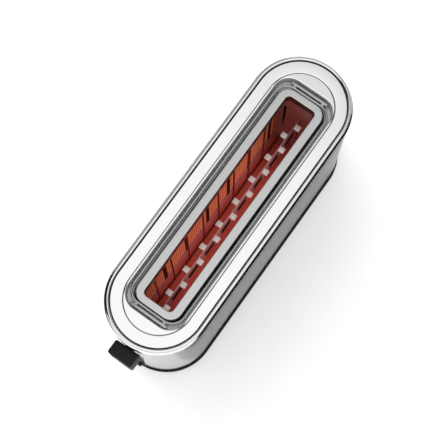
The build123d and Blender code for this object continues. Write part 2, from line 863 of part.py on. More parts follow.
def make_button(z):
    button = end_rod(button_radius, end_radius + button_proud, button_seat, z)
    cap_face = button.faces().sort_by(Axis.X)[0]
    button = fillet(cap_face.edges(), 0.6)
    return button + end_rod(button_stem_radius, button_seat, stem_end, z)


def make_button_housing():
    low = button_z[0] - button_housing_end
    high = button_z[-1] + button_housing_end
    housing = block(-housing_outer, -housing_inner, -button_housing_half, button_housing_half, low, high)
    ear_low = high - button_housing_end / 2
    for z0, z1 in ((low, low + button_housing_end / 4), (ear_low + button_housing_end / 4, high)):
        ear_reach = sqrt(inner_radius**2 - button_housing_half**2) - fit_gap
        housing += block(-ear_reach, -housing_inner, -button_housing_half, button_housing_half, z0, z1)
        housing += block(-housing_inner, -board_outer, -button_housing_half, button_housing_half, z0, z1)
    housing = at_end_angle(housing)
    for z in button_z:
        housing -= end_rod(button_stem_radius + fit_gap, housing_outer + 1, housing_inner - 1, z)
    return housing


def make_switch_board():
    low = button_z[0] - button_housing_end
    high = button_z[-1] + button_housing_end
    board = block(
        -board_outer, -(board_outer - switch_board_thick), -button_housing_half, button_housing_half, low, high
    )
    for z in button_z:
        board += block(
            -(board_outer + switch_depth), -board_outer, -switch_size / 2, switch_size / 2,
            z - switch_size / 2, z + switch_size / 2,
        )
    return at_end_angle(board)


# Control board, mains terminal and cord gland


def make_control_board():
    return block(
        -circuit_x, -(circuit_x - circuit_thick), circuit_y_low, circuit_y_high, circuit_z_low, circuit_z_high
    )


def make_board_spacers():
    places = [
        (y, z)
        for y in (circuit_y_low + 2 * spacer_radius, end_plate_half_width - 2 * spacer_radius)
        for z in (circuit_z_low + 2 * spacer_radius, circuit_z_high - 2 * spacer_radius)
    ]
    x0 = -(circuit_x - circuit_thick)
    x1 = -(end_plate_x + end_plate_sheet)
    return [rod_along_x(x0, x1, y, z, spacer_radius) for y, z in places]


def make_terminal_block():
    x0 = end_plate_x + end_plate_sheet
    y0 = terminal_y - terminal_half
    terminal = block(x0, x0 + terminal_depth, y0, terminal_y + terminal_half, terminal_low, terminal_high)
    for y in (terminal_y - terminal_half / 2, terminal_y, terminal_y + terminal_half / 2):
        low = terminal_high - terminal_screw_depth
        terminal -= rod_along_z(x0 + terminal_depth / 2, y, low, terminal_high, terminal_screw_radius)
    return terminal


def make_cord_gland():
    face = half_body
    gland = rod_along_x(face - sheet - gland_inside, face, 0, gland_z, gland_radius - fit_gap)
    gland += rod_along_x(face, face + gland_flange_thick, 0, gland_z, gland_flange)
    return gland - rod_along_x(face - 2 * gland_inside, face + gland_inside, 0, gland_z, gland_bore)


# Crumb tray


def make_crumb_tray():
    high = tray_low + tray_wall_height
    tray = block(-tray_front_x, tray_back_x, -tray_half_width, tray_half_width, tray_low, high)
    return tray - block(
        -tray_front_x + tray_sheet, tray_back_x - tray_sheet, -tray_half_width + tray_sheet, tray_half_width - tray_sheet,
        tray_low + tray_sheet, high,
    )


def make_crumb_tray_front():
    face = obround(half_run, end_radius, tray_face_low, tray_face_high)
    face &= block(
        tray_back_x, half_body + sheet, -tray_face_half_width, tray_face_half_width, tray_face_low, tray_face_high
    )
    face -= obround(half_run, end_radius - tray_face_wall, tray_face_low, tray_face_high - tray_face_wall) & block(
        tray_back_x + tray_face_wall, half_body, -tray_face_half_width, tray_face_half_width,
        tray_face_low, tray_face_high - tray_face_wall,
    )
    lip = block(
        half_body - tray_face_wall, half_body + tray_lip_reach, -tray_lip_half, tray_lip_half, tray_lip_low, tray_lip_high
    )
    lip = fillet(lip.edges().filter_by(Axis.Z).sort_by(Axis.X)[-2:], 2.0)
    return face + lip


save("base_plate", make_base_plate())
save("feet", *make_feet())
save("base_screws", *make_base_screws())
save("shell", make_shell())
save("top_cap", make_top_cap())
save("top_insert", make_top_insert())
save("slot_frame", make_slot_frame())
save("bun_rack", make_bun_rack())
save("bun_rack_legs", *make_bun_rack_legs())
save("crumb_tray", make_crumb_tray())
save("crumb_tray_front", make_crumb_tray_front())
save("bread_carriage", make_bread_carriage())
save("carriage_slider", make_slider())
save("guide_rod", rod_along_z(-rod_x, 0, base_floor_top, bracket_low + 2 * bracket_thick, rod_radius))
save("rod_bracket", make_rod_bracket())
save("lift_spring", make_lift_spring())
save("latch_magnet", make_latch_magnet())
save("latch_armature", make_latch_armature())
save("lever_arm", make_lever_arm())
save("lever_knob", make_lever_knob())
save("lever_slot_liner", make_lever_slot_liner())
save("control_strip", make_control_strip())
save("browning_dial", make_browning_dial())
save("dial_bezel", make_dial_bezel())
save("dial_shaft", make_dial_shaft())
save("dial_potentiometer", make_potentiometer())
save("potentiometer_bracket", make_pot_bracket())
save("button_housing", make_button_housing())
save("switch_board", make_switch_board())
save("control_board", make_control_board())
save("board_spacers", *make_board_spacers())
save("terminal_block", make_terminal_block())
save("cord_gland", make_cord_gland())
for name, z in zip(("stop_button", "defrost_button", "reheat_button"), button_z):
    save(name, make_button(z))
for end, sx in (("front", -1), ("rear", 1)):
    save(f"end_plate_{end}", make_end_plate(sx))
    save(f"rack_guides_{end}", *make_rack_guides(sx))
for side, sy in (("left", 1), ("right", -1)):
    save(f"reflector_{side}", make_reflector(sy))
    save(f"heater_board_{side}", make_board(sy))
    save(f"heater_ribbon_{side}", make_ribbon(sy))
    save(f"board_clips_{side}", *make_clips(sy))
    save(f"bread_guide_{side}", make_bread_guide(sy))
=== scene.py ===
from math import cos, pi, radians, sin

import bmesh
import bpy
from bmesh.types import BMEdge, BMFace, BMVert
from mathutils import Matrix, Vector


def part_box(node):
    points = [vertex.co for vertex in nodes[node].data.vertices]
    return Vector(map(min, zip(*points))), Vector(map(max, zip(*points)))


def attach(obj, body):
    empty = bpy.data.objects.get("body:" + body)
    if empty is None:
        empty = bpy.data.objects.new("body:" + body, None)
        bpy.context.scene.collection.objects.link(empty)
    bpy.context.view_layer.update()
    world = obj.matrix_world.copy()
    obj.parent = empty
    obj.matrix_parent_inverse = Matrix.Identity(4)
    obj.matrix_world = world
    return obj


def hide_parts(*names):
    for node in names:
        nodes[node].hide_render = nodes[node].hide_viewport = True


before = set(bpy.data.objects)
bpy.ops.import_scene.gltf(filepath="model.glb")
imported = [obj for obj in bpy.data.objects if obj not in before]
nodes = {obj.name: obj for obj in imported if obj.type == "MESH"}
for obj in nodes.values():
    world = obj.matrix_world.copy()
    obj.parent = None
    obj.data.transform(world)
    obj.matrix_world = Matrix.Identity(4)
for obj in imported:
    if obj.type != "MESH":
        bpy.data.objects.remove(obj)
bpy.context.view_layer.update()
shellLow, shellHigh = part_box("shell")
bodyX = (shellLow.x + shellHigh.x) * 500  # middle of the round-ended body, mm
mm = 0.001
print("frame loaded, body middle at", round(bodyX, 2), "mm")


# Shape helpers, in millimetres

weld = 0.01  # doubles closer than this are merged
level = 1e-3  # points within this of a height lie at it


def pick(geom, kind):
    return [g for g in geom if isinstance(g, kind)]


def sweepAround(bm, profile, runX, runY, steps=16, closed=True):
    # carries a profile of (distance from a corner's centre, height) round four corners
    # and the straights between them
    verts = [bm.verts.new((bodyX + runX, -runY - r, z)) for r, z in profile]
    pairs = list(zip(verts, verts[1:])) + ([(verts[-1], verts[0])] if closed else [])
    geom = verts + [bm.edges.new(pair) for pair in pairs]
    corners = [(runX, -runY), (runX, runY), (-runX, runY), (-runX, -runY)]
    for i, (x, y) in enumerate(corners):
        turned = bmesh.ops.spin(bm, geom=geom, cent=(bodyX + x, y, 0), axis=(0, 0, 1), angle=pi / 2,
                                steps=steps, use_merge=False)
        geom = turned["geom_last"]
        nextX, nextY = corners[(i + 1) % len(corners)]
        run = Vector((nextX - x, nextY - y, 0))
        if run.length > level:
            grown = bmesh.ops.extrude_edge_only(bm, edges=pick(geom, BMEdge))["geom"]
            moved = pick(grown, BMVert)
            bmesh.ops.translate(bm, vec=run, verts=moved)
            new = set(moved)
            geom = moved + [e for e in pick(grown, BMEdge) if all(v in new for v in e.verts)]
    bmesh.ops.remove_doubles(bm, verts=bm.verts, dist=weld)


def arc(cx, cz, radius, start, end, steps=5):
    # points of an arc in a profile, angles in degrees from the outward direction
    turns = [radians(start + (end - start) * i / steps) for i in range(steps + 1)]
    return [(cx + radius * cos(t), cz + radius * sin(t)) for t in turns]


def bridgeAt(bm, height):
    # joins the open loops that lie at one height
    edges = [e for e in bm.edges if e.is_boundary and all(abs(v.co.z - height) < level for v in e.verts)]
    bmesh.ops.bridge_loops(bm, edges=edges)


def turnedAbout(bm, steps, height, segments):
    # turns a profile of (x, radius) about the line along X at a height
    verts = [bm.verts.new((x, 0, height + r)) for x, r in steps]
    edges = [bm.edges.new(pair) for pair in zip(verts, verts[1:])]
    bmesh.ops.spin(bm, geom=verts + edges, cent=(steps[0][0], 0, height), axis=(1, 0, 0), angle=2 * pi,
                   steps=segments, use_merge=True)
    bmesh.ops.remove_doubles(bm, verts=bm.verts, dist=3 * weld)


def roundBar(bm, start, end, radius, segments=16):
    start, end = Vector(start), Vector(end)
    along = end - start
    turn = along.to_track_quat("Z", "Y").to_matrix().to_4x4()
    bmesh.ops.create_cone(bm, cap_ends=True, segments=segments, radius1=radius, radius2=radius,
                          depth=along.length, matrix=Matrix.Translation((start + end) / 2) @ turn)


def brick(bm, low, high, edge=0.0, segments=2):
    # a box between two corners, with its edges rounded
    low, high = Vector(low), Vector(high)
    place = Matrix.Translation((low + high) / 2) @ Matrix.Diagonal((*(high - low), 1))
    made = bmesh.ops.create_cube(bm, size=1, matrix=place)["verts"]
    if edge:
        edges = list({e for v in made for e in v.link_edges})
        bmesh.ops.bevel(bm, geom=edges, offset=edge, affect="EDGES", segments=segments, profile=0.5,
                        material=-1)


def finishPiece(bm, name, body, material, stands=(), sharp=40, thickness=0.0, recalc=True):
    if recalc:
        bmesh.ops.recalc_face_normals(bm, faces=bm.faces)
    bmesh.ops.scale(bm, vec=(mm, mm, mm), verts=bm.verts)
    mesh = bpy.data.meshes.new(name)
    bm.to_mesh(mesh)
    bm.free()
    mesh.shade_smooth()
    mesh.set_sharp_from_angle(angle=radians(sharp))
    piece = bpy.data.objects.new(name, mesh)
    bpy.context.scene.collection.objects.link(piece)
    mesh.materials.append(material)
    if thickness:
        wall = piece.modifiers.new("wall", "SOLIDIFY")
        wall.thickness = thickness * mm
        wall.offset = -1
    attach(piece, body)
    if stands:
        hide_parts(*stands)
    print("made", name)
    return piece


def paintInside(piece, finish, inside):
    # gives a second finish to the faces whose middle lies inside a region
    piece.data.materials.append(finish)
    for face in piece.data.polygons:
        x, y, z = face.center / mm
        if inside(abs(x - bodyX), abs(y), z):
            face.material_index = 1


# Finishes

common = {"grainDetail": 4.0, "grainRough": 0.6, "cloud": 14.0, "cloudDetail": 3.0, "grainShare": 0.6,
          "darkAt": 0.3, "lightAt": 0.7, "bumpDepth": 0.0002}


def makeFinish(name, look):
    # a principled surface with fine grain and a slow cloudy change, both read from Object coordinates
    c = common
    mat = bpy.data.materials.new(name)
    mat.use_nodes = True
    tree = mat.node_tree
    shader = tree.nodes["Principled BSDF"]
    shader.inputs["Metallic"].default_value = look.get("metal", 0.0)
    for socket, value in look.get("sockets", {}).items():
        shader.inputs[socket].default_value = value

    def add(kind, inputs, **values):
        # a node with its settings, and its inputs either linked or set to a constant
        node = tree.nodes.new(kind)
        for key, value in values.items():
            setattr(node, key, value)
        for socket, value in inputs.items():
            if isinstance(value, bpy.types.NodeSocket):
                tree.links.new(value, node.inputs[socket])
            else:
                node.inputs[socket].default_value = value
        return node

    def mapped(source, low, high, first, last):
        return add("ShaderNodeMapRange", {"Value": source, "From Min": low, "From Max": high,
                                          "To Min": first, "To Max": last}).outputs["Result"]

    place = add("ShaderNodeTexCoord", {}).outputs["Object"]
    stretch = add("ShaderNodeMapping", {"Vector": place, "Scale": look["grain"]}).outputs["Vector"]
    grain = add("ShaderNodeTexNoise", {"Vector": stretch, "Scale": 1.0, "Detail": c["grainDetail"],
                                       "Roughness": c["grainRough"]}).outputs["Fac"]
    cloud = add("ShaderNodeTexNoise", {"Vector": place, "Scale": look.get("cloud", c["cloud"]),
                                       "Detail": c["cloudDetail"]}).outputs["Fac"]
    slow = add("ShaderNodeMath", {0: cloud, 1: 1 - c["grainShare"]}, operation="MULTIPLY").outputs["Value"]
    both = add("ShaderNodeMath", {0: grain, 1: c["grainShare"], 2: slow},
               operation="MULTIPLY_ADD").outputs["Value"]

    tint = add("ShaderNodeValToRGB", {"Fac": both})
    for element, at, color in zip(tint.color_ramp.elements, ("darkAt", "lightAt"), ("dark", "light")):
        element.position = c[at]
        element.color = (*look[color], 1)
    tree.links.new(tint.outputs["Color"], shader.inputs["Base Color"])
    tree.links.new(mapped(both, c["darkAt"], c["lightAt"], *look["rough"]), shader.inputs["Roughness"])

    if "bump" in look:
        bump = add("ShaderNodeBump", {"Height": grain, "Strength": look["bump"],
                                      "Distance": look.get("bumpDepth", c["bumpDepth"])})
        tree.links.new(bump.outputs["Normal"], shader.inputs["Normal"])

    if "glow" in look:
        # emitted light that dies away towards the ends of the chamber: on the heater ribbons it is their own heat,
        # on the parts round them it is painted light from the heaters
        glow = look["glow"]
        along = add("ShaderNodeSeparateXYZ", {"Vector": place}).outputs["X"]
        offset = add("ShaderNodeMath", {0: along, 1: bodyX * mm}, operation="SUBTRACT").outputs["Value"]
        away = add("ShaderNodeMath", {0: offset}, operation="ABSOLUTE").outputs["Value"]
        fade = mapped(away, glow["from"], glow["to"], glow["strength"], glow["end"])
        tree.links.new(fade, shader.inputs["Emission Strength"])
        shader.inputs["Emission Color"].default_value = (*glow["color"], 1)
    return mat


looks = {
    "capSteel": {"metal": 1.0, "dark": (0.83, 0.83, 0.832), "light": (0.90, 0.90, 0.902),
                 "rough": (0.13, 0.18), "grain": (700, 700, 700), "cloud": 9.0, "bump": 0.03,
                 "bumpDepth": 0.00003},
    "shellSteel": {"metal": 1.0, "dark": (0.30, 0.30, 0.302), "light": (0.39, 0.39, 0.392),
                   "rough": (0.12, 0.18), "grain": (14, 14, 1500), "cloud": 7.0, "bump": 0.08,
                   "bumpDepth": 0.00004, "sockets": {"Anisotropic": 0.35}},
    "frameSteel": {"metal": 1.0, "dark": (0.58, 0.585, 0.58), "light": (0.68, 0.685, 0.68),
                   "rough": (0.30, 0.40), "grain": (1100, 1100, 1100), "bump": 0.10,
                   "bumpDepth": 0.00004},
    # the chute's walls: a red-tinted near-black, painted shade and painted dark reflection of the deep slot
    "chutePaintedShade": {"metal": 0.9, "dark": (0.030, 0.018, 0.016), "light": (0.085, 0.05, 0.045),
                   "rough": (0.28, 0.42), "grain": (300, 300, 900), "cloud": 30.0, "bump": 0.06,
                   "bumpDepth": 0.00004},
    # the well below the insert's lip: a darker, duller copy of the cap steel, painted shade in the recess
    "wellSteelPaintedShade": {"metal": 0.5, "dark": (0.52, 0.52, 0.525), "light": (0.66, 0.66, 0.665),
                  "rough": (0.34, 0.48), "grain": (500, 500, 500), "bump": 0.06, "bumpDepth": 0.00004},
    "rackChrome": {"metal": 1.0, "dark": (0.36, 0.365, 0.37), "light": (0.50, 0.50, 0.51),
                   "rough": (0.12, 0.20), "grain": (400, 400, 400)},
    "sealRubber": {"dark": (0.004, 0.004, 0.004), "light": (0.009, 0.009, 0.009), "rough": (0.6, 0.75),
                   "grain": (900, 900, 900), "bump": 0.2, "sockets": {"Specular IOR Level": 0.2}},
    "chassisSteel": {"metal": 1.0, "dark": (0.34, 0.33, 0.32), "light": (0.56, 0.54, 0.52),
                     "rough": (0.34, 0.52), "grain": (260, 260, 260), "cloud": 30.0, "bump": 0.12,
                     "bumpDepth": 0.0001},
    # end plates and reflectors: reddish, and their emission is painted light from the heaters
    "steelWithPaintedGlow": {"metal": 0.6, "dark": (0.26, 0.10, 0.095), "light": (0.52, 0.27, 0.26),
                    "rough": (0.34, 0.52), "grain": (90, 90, 260), "cloud": 24.0, "bump": 0.12,
                    "bumpDepth": 0.0001,
                    "glow": {"color": (1.0, 0.32, 0.31), "strength": 0.14, "end": 0.02,
                             "from": 0.07, "to": 0.125}},
    # crumb tray: its emission is painted light from the heaters
    "trayRed": {"metal": 0.5, "dark": (0.26, 0.03, 0.022), "light": (0.50, 0.10, 0.07),
                "rough": (0.38, 0.55), "grain": (200, 200, 200), "cloud": 18.0, "bump": 0.12,
                "bumpDepth": 0.0001,
                "glow": {"color": (1.0, 0.13, 0.09), "strength": 0.15, "end": 0.04,
                         "from": 0.07, "to": 0.125}},
    # carriage tabs: their emission is painted light from the heaters
    "tabSteel": {"metal": 0.4, "dark": (0.62, 0.585, 0.565), "light": (0.86, 0.84, 0.82),
                 "rough": (0.36, 0.5), "grain": (500, 500, 500), "bump": 0.1, "bumpDepth": 0.00006,
                 "glow": {"color": (1.0, 0.86, 0.82), "strength": 0.12, "end": 0.10,
                          "from": 0.07, "to": 0.125}},
    # carriage strip and lever arm: their emission is painted light from the heaters
    "carriageSteel": {"metal": 0.5, "dark": (0.36, 0.19, 0.18), "light": (0.62, 0.40, 0.39),
                      "rough": (0.36, 0.5), "grain": (240, 240, 240), "cloud": 40.0, "bump": 0.1,
                      "bumpDepth": 0.00006,
                      "glow": {"color": (1.0, 0.42, 0.42), "strength": 0.10, "end": 0.01,
                               "from": 0.07, "to": 0.125}},
    # near-black backs of the carriage's hollows: painted shade
    "hollowPaintedShade": {"dark": (0.006, 0.003, 0.003), "light": (0.018, 0.009, 0.008), "rough": (0.6, 0.8),
                    "grain": (500, 500, 500)},
    "wireSteel": {"metal": 1.0, "dark": (0.16, 0.06, 0.045), "light": (0.32, 0.12, 0.09),
                  "rough": (0.3, 0.45), "grain": (600, 600, 600)},
    "rodSteel": {"metal": 1.0, "dark": (0.60, 0.60, 0.60), "light": (0.74, 0.74, 0.74),
                 "rough": (0.16, 0.26), "grain": (900, 900, 300)},
    "clipSteel": {"metal": 0.8, "dark": (0.035, 0.016, 0.014), "light": (0.10, 0.04, 0.035),
                  "rough": (0.42, 0.6), "grain": (500, 500, 500)},
    "screwSteel": {"metal": 1.0, "dark": (0.40, 0.40, 0.41), "light": (0.56, 0.56, 0.57),
                   "rough": (0.28, 0.4), "grain": (800, 800, 800)},
    "magnetIron": {"metal": 0.9, "dark": (0.10, 0.10, 0.11), "light": (0.24, 0.24, 0.26),
                   "rough": (0.45, 0.62), "grain": (500, 500, 500), "bump": 0.3},
    # mica boards: their emission is painted light from the ribbons on them
    "mica": {"dark": (0.22, 0.060, 0.035), "light": (0.40, 0.12, 0.075), "rough": (0.5, 0.75),
             "grain": (60, 60, 9), "cloud": 26.0, "bump": 0.15,
             "glow": {"color": (1.0, 0.19, 0.10), "strength": 0.20, "end": 0.05,
                      "from": 0.07, "to": 0.125}},
    "heaterAlloy": {"metal": 0.3, "dark": (0.26, 0.07, 0.03), "light": (0.42, 0.13, 0.06),
                    "rough": (0.4, 0.6), "grain": (300, 300, 300), "cloud": 22.0,
                    "glow": {"color": (1.0, 0.26, 0.12), "strength": 0.42, "end": 0.18,
                             "from": 0.06, "to": 0.12}},
    "blackPlastic": {"dark": (0.007, 0.007, 0.0072), "light": (0.014, 0.014, 0.0145),
                     "rough": (0.5, 0.62), "grain": (1600, 1600, 1600), "bump": 0.22,
                     "bumpDepth": 0.00008, "sockets": {"Specular IOR Level": 0.22}},
    "dialPlastic": {"dark": (0.007, 0.007, 0.0072), "light": (0.013, 0.013, 0.0135),
                    "rough": (0.34, 0.46), "grain": (1200, 1200, 1200), "bump": 0.08,
                    "bumpDepth": 0.00005, "sockets": {"Specular IOR Level": 0.3}},
    "greyPlastic": {"dark": (0.16, 0.16, 0.165), "light": (0.24, 0.24, 0.245), "rough": (0.45, 0.6),
                    "grain": (900, 900, 900), "bump": 0.1},
    "circuitGreen": {"dark": (0.010, 0.07, 0.025), "light": (0.03, 0.16, 0.06), "rough": (0.3, 0.42),
                     "grain": (350, 350, 900), "bump": 0.1},
    "footRubber": {"dark": (0.012, 0.012, 0.012), "light": (0.03, 0.03, 0.03), "rough": (0.7, 0.85),
                   "grain": (1000, 1000, 1000), "bump": 0.3},
    "markWhite": {"dark": (0.70, 0.70, 0.69), "light": (0.82, 0.82, 0.81), "rough": (0.45, 0.55),
                  "grain": (900, 900, 900)},
}
finishes = {name: makeFinish(name, look) for name, look in looks.items()}
print("finishes made:", len(finishes))

nodeFinish = {
    "blackPlastic": ["base_plate", "lever_slot_liner", "control_strip", "dial_bezel", "cord_gland",
                     "crumb_tray_front"],
    "footRubber": ["feet"],
    "screwSteel": ["base_screws"],
    "rackChrome": ["bun_rack_legs"],
    "chassisSteel": ["rod_bracket", "potentiometer_bracket"],
    "trayRed": ["crumb_tray"],
    "steelWithPaintedGlow": ["end_plate_front", "end_plate_rear", "reflector_left", "reflector_right"],
    "carriageSteel": ["lever_arm"],
    "wireSteel": ["lift_spring", "bread_guide_left", "bread_guide_right"],
    "rodSteel": ["guide_rod"],
    "clipSteel": ["board_clips_left", "board_clips_right"],
    "magnetIron": ["latch_magnet", "latch_armature"],
    "mica": ["heater_board_left", "heater_board_right"],
    "heaterAlloy": ["heater_ribbon_left", "heater_ribbon_right"],
    "greyPlastic": ["carriage_slider", "dial_shaft", "dial_potentiometer", "button_housing",
                    "board_spacers", "terminal_block", "rack_guides_front", "rack_guides_rear"],
    "circuitGreen": ["switch_board", "control_board"],
}
for finishName, names in nodeFinish.items():
    for name in names:
        slots = nodes[name].data.materials
        slots.clear()
        slots.append(finishes[finishName])
print("carried-over nodes finished:", sum(len(names) for names in nodeFinish.values()))


# Cap: the polished rim that stands out over the shell, the groove at its foot and the flat crown

cap = {"outer": 54.0, "run": 121.0, "low": 170.6, "flat": 180.4, "crest": 182.0, "hem": 1.2,
       "hemRound": 0.3, "hemTurn": 0.08, "beadWidth": 3.5, "beadHeight": 5.7, "beadSteps": 14,
       "innerWidth": 1.6, "rim": 5.1, "groove": 1.4, "grooveDepth": 1.1, "edge": 0.12, "seam": 36.2,
       "seamFlat": 1.0, "seamRound": 0.2, "seamTurn": 0.04, "seamReach": 1.2, "endPull": 1.0,
       "plate": 0.8, "sheet": 0.8, "underside": 2.6, "webIn": 3.6, "webHigh": 1.0, "skirtIn": 2.6,
       "skirtOut": 2.0, "skirtDrop": 6.0, "hemDrop": 0.6, "sealWidth": 1.2, "sealBed": 0.3,
       "sealTop": 0.25, "sealEdge": 0.1, "gasketOut": 53.15, "gasketHeight": 5.0, "gasketWide": 1.2,
       "gasketLap": 0.2, "steps": 32}


def makeCap():
    c = cap
    outer, low, flat, seam = c["outer"], c["low"], c["flat"], c["seam"]
    inner = outer - c["rim"]
    foot = inner - c["groove"]
    bm = bmesh.new()
    profile = [(outer - c["hem"], low), (outer - c["hemRound"], low),
               (outer - c["hemTurn"], low + c["hemTurn"]), (outer, low + c["hemRound"])]
    # the rim's outer side is a tall quarter ellipse
    for i in range(1, c["beadSteps"] + 1):
        t = radians(90 * i / c["beadSteps"])
        profile.append((outer - c["beadWidth"] * (1 - cos(t)), c["crest"] - c["beadHeight"] * (1 - sin(t))))
    profile += arc(inner + c["innerWidth"], c["crest"] - c["innerWidth"], c["innerWidth"], 90, 180, 6)
    profile += [(inner, flat - c["grooveDepth"]), (foot, flat - c["grooveDepth"]),
                (foot, flat - c["edge"]), (foot - c["edge"], flat)]
    profile += [(seam + c["seamFlat"], flat), (seam + c["seamRound"], flat - c["seamTurn"]),
                (seam, flat - c["seamRound"]), (seam, flat - c["plate"]),
                (foot - c["sheet"], flat - c["plate"]), (foot - c["sheet"], flat - c["underside"]),
                (outer - c["webIn"], flat - c["underside"])]
    profile += [(outer - c["skirtIn"], low + c["webHigh"]), (outer - c["skirtIn"], low - c["skirtDrop"]),
                (outer - c["skirtOut"], low - c["skirtDrop"]), (outer - c["skirtOut"], low - c["hemDrop"]),
                (outer - c["hem"], low - c["hemDrop"])]
    sweepAround(bm, profile, c["run"], 0, steps=c["steps"])
    # the seam's round ends sit a little inside the cap's own
    for v in bm.verts:
        fromCentre = Vector((max(abs(v.co.x - bodyX) - c["run"], 0), v.co.y)).length
        if flat - c["plate"] - 0.05 < v.co.z < flat + weld and fromCentre < seam + c["seamReach"]:
            v.co.x += -c["endPull"] if v.co.x > bodyX else c["endPull"]
    finishPiece(bm, "capSkin", "housing", finishes["capSteel"], ["top_cap"])

    # black seal lying in the groove at the bead's foot, and another under the rim
    seal = bmesh.new()
    bed, top, edge = flat - c["grooveDepth"] - c["sealBed"], flat - c["sealTop"], c["sealEdge"]
    middle, half = inner - c["groove"] / 2, c["sealWidth"] / 2
    sweepAround(seal, [(middle + half, bed), (middle + half, top - edge), (middle + half - edge, top),
                       (middle - half + edge, top), (middle - half, top - edge), (middle - half, bed)],
                c["run"], 0, steps=c["steps"])
    bed, top, out = low - c["gasketHeight"], low + c["gasketLap"], c["gasketOut"]
    sweepAround(seal, [(out - c["gasketWide"], bed), (out - c["gasketLap"], bed),
                       (out, bed + c["gasketLap"]), (out, top), (out - c["gasketWide"], top)],
                c["run"], 0, steps=c["steps"])
    finishPiece(seal, "rimSeal", "housing", finishes["sealRubber"])


makeCap()


# Insert: the flat plate inside the seam and the well for the bun rack

insert = {"seam": 35.65, "run": 120.0, "top": 180.4, "skirt": 1.2, "round": 0.2, "roundTurn": 0.06,
          "land": 0.7, "wellX": 142.5, "wellY": 33.5, "corner": 18.0, "floor": 169.5, "lip": 0.9,
          "lipFlat": 0.5, "foot": 1.4, "footFlat": 3.0, "floorReach": 13.2, "legX": 139.0, "legY": 16.0,
          "legHalfX": 1.5, "legHalfY": 3.5, "sheet": 0.5, "darkX": 143.0, "darkY": 34.0, "darkDrop": 0.1}


def makeInsert():
    c = insert
    top, seam, corner, floor = c["top"], c["seam"], c["corner"], c["floor"]
    bm = bmesh.new()
    outer = [(seam, top - c["skirt"]), (seam, top - c["round"]),
             (seam - c["roundTurn"], top - c["roundTurn"]), (seam - c["round"], top), (seam - c["land"], top)]
    sweepAround(bm, outer, c["run"], 0, steps=32, closed=False)
    well = [(corner + c["lip"] + c["lipFlat"], top)] + arc(corner + c["lip"], top - c["lip"], c["lip"], 90, 180)
    well += arc(corner - c["foot"], floor + c["foot"], c["foot"], 0, -90, 4)
    well += [(corner - c["foot"] - c["footFlat"], floor), (corner - c["floorReach"], floor)]
    sweepAround(bm, well, c["wellX"] - corner, c["wellY"] - corner, steps=12, closed=False)
    bridgeAt(bm, top)

    # the floor is cut along the sides of the four leg holes, and the holes are taken out
    for sign in (-1, 1):
        for side in (-1, 1):
            x = bodyX + sign * (c["legX"] + side * c["legHalfX"])
            y = sign * (c["legY"] + side * c["legHalfY"])
            for spot, normal in (((x, 0, 0), (1, 0, 0)), ((0, y, 0), (0, 1, 0))):
                faces = [f for f in bm.faces if all(abs(v.co.z - floor) < level for v in f.verts)]
                edges = list({e for f in faces for e in f.edges})
                verts = list({v for f in faces for v in f.verts})
                bmesh.ops.bisect_plane(bm, geom=faces + edges + verts, plane_co=spot, plane_no=normal)
    holes = []
    for f in bm.faces:
        x, y, z = f.calc_center_median()
        if (abs(z - floor) < level and abs(abs(x - bodyX) - c["legX"]) < c["legHalfX"]
                and abs(abs(y) - c["legY"]) < c["legHalfY"]):
            holes.append(f)
    bmesh.ops.delete(bm, geom=holes, context="FACES")
    piece = finishPiece(bm, "insertSkin", "housing", finishes["capSteel"], ["top_insert"],
                        thickness=c["sheet"])
    # the well's walls and floor below the lip get the darker finish: painted shade in the recess
    dark = top - c["lip"] - c["darkDrop"]
    paintInside(piece, finishes["wellSteelPaintedShade"], lambda x, y, z: z < dark and x < c["darkX"] and y < c["darkY"])


makeInsert()


# Slot frame with its raised flat top and the chute down into the chamber

slotFrame = {"halfX": 132.9, "halfY": 26.2, "corner": 13.0, "top": 177.0, "floor": 169.5, "round": 1.1,
             "topFlat": 0.5, "slotX": 125.3, "slotY": 17.3, "slotCorner": 5.0, "slotRound": 0.7,
             "chuteLow": 161.0, "lipHeight": 2.6, "flareHigh": 0.4, "flareOut": 0.3, "sheet": 0.6,
             "shadeReach": 0.3, "shadeDrop": 0.5, "sealWidth": 1.7, "sealHeight": 1.6, "sealEdge": 0.3,
             "sealLap": 0.6, "sealGap": 0.05, "sealLift": 0.02}


def makeSlotFrame():
    c = slotFrame
    top, corner, inner, low = c["top"], c["corner"], c["slotCorner"], c["chuteLow"]
    bm = bmesh.new()
    outer = [(corner, c["floor"])] + arc(corner - c["round"], top - c["round"], c["round"], 0, 90)
    outer.append((corner - c["round"] - c["topFlat"], top))
    sweepAround(bm, outer, c["halfX"] - corner, c["halfY"] - corner, steps=12, closed=False)
    chute = [(inner + c["slotRound"] + c["topFlat"], top)]
    chute += arc(inner + c["slotRound"], top - c["slotRound"], c["slotRound"], 90, 180)
    chute += [(inner, low + c["lipHeight"]), (inner, low + c["flareHigh"]), (inner + c["flareOut"], low)]
    sweepAround(bm, chute, c["slotX"] - inner, c["slotY"] - inner, steps=12, closed=False)
    bridgeAt(bm, top)
    piece = finishPiece(bm, "frameSkin", "housing", finishes["frameSteel"], ["slot_frame"],
                        thickness=c["sheet"])
    # the chute's walls down to its bright lip get a near-black finish: painted shade and painted dark reflection of
    # the deep slot
    reachX, reachY = c["slotX"] + c["shadeReach"], c["slotY"] + c["shadeReach"]
    lip, brim = low + c["lipHeight"], top - c["shadeDrop"]
    paintInside(piece, finishes["chutePaintedShade"], lambda x, y, z: x < reachX and y < reachY and lip < z < brim)

    seal = bmesh.new()
    near, far = corner + c["sealGap"], corner + c["sealWidth"]
    bed, high, edge = c["floor"] + c["sealLift"], c["floor"] + c["sealHeight"], c["sealEdge"]
    sweepAround(seal, [(far, bed), (far, high - edge), (far - edge, high), (near, high + c["sealLap"]), (near, bed)],
                c["halfX"] - corner, c["halfY"] - corner, steps=12)
    finishPiece(seal, "frameSeal", "housing", finishes["sealRubber"])


makeSlotFrame()


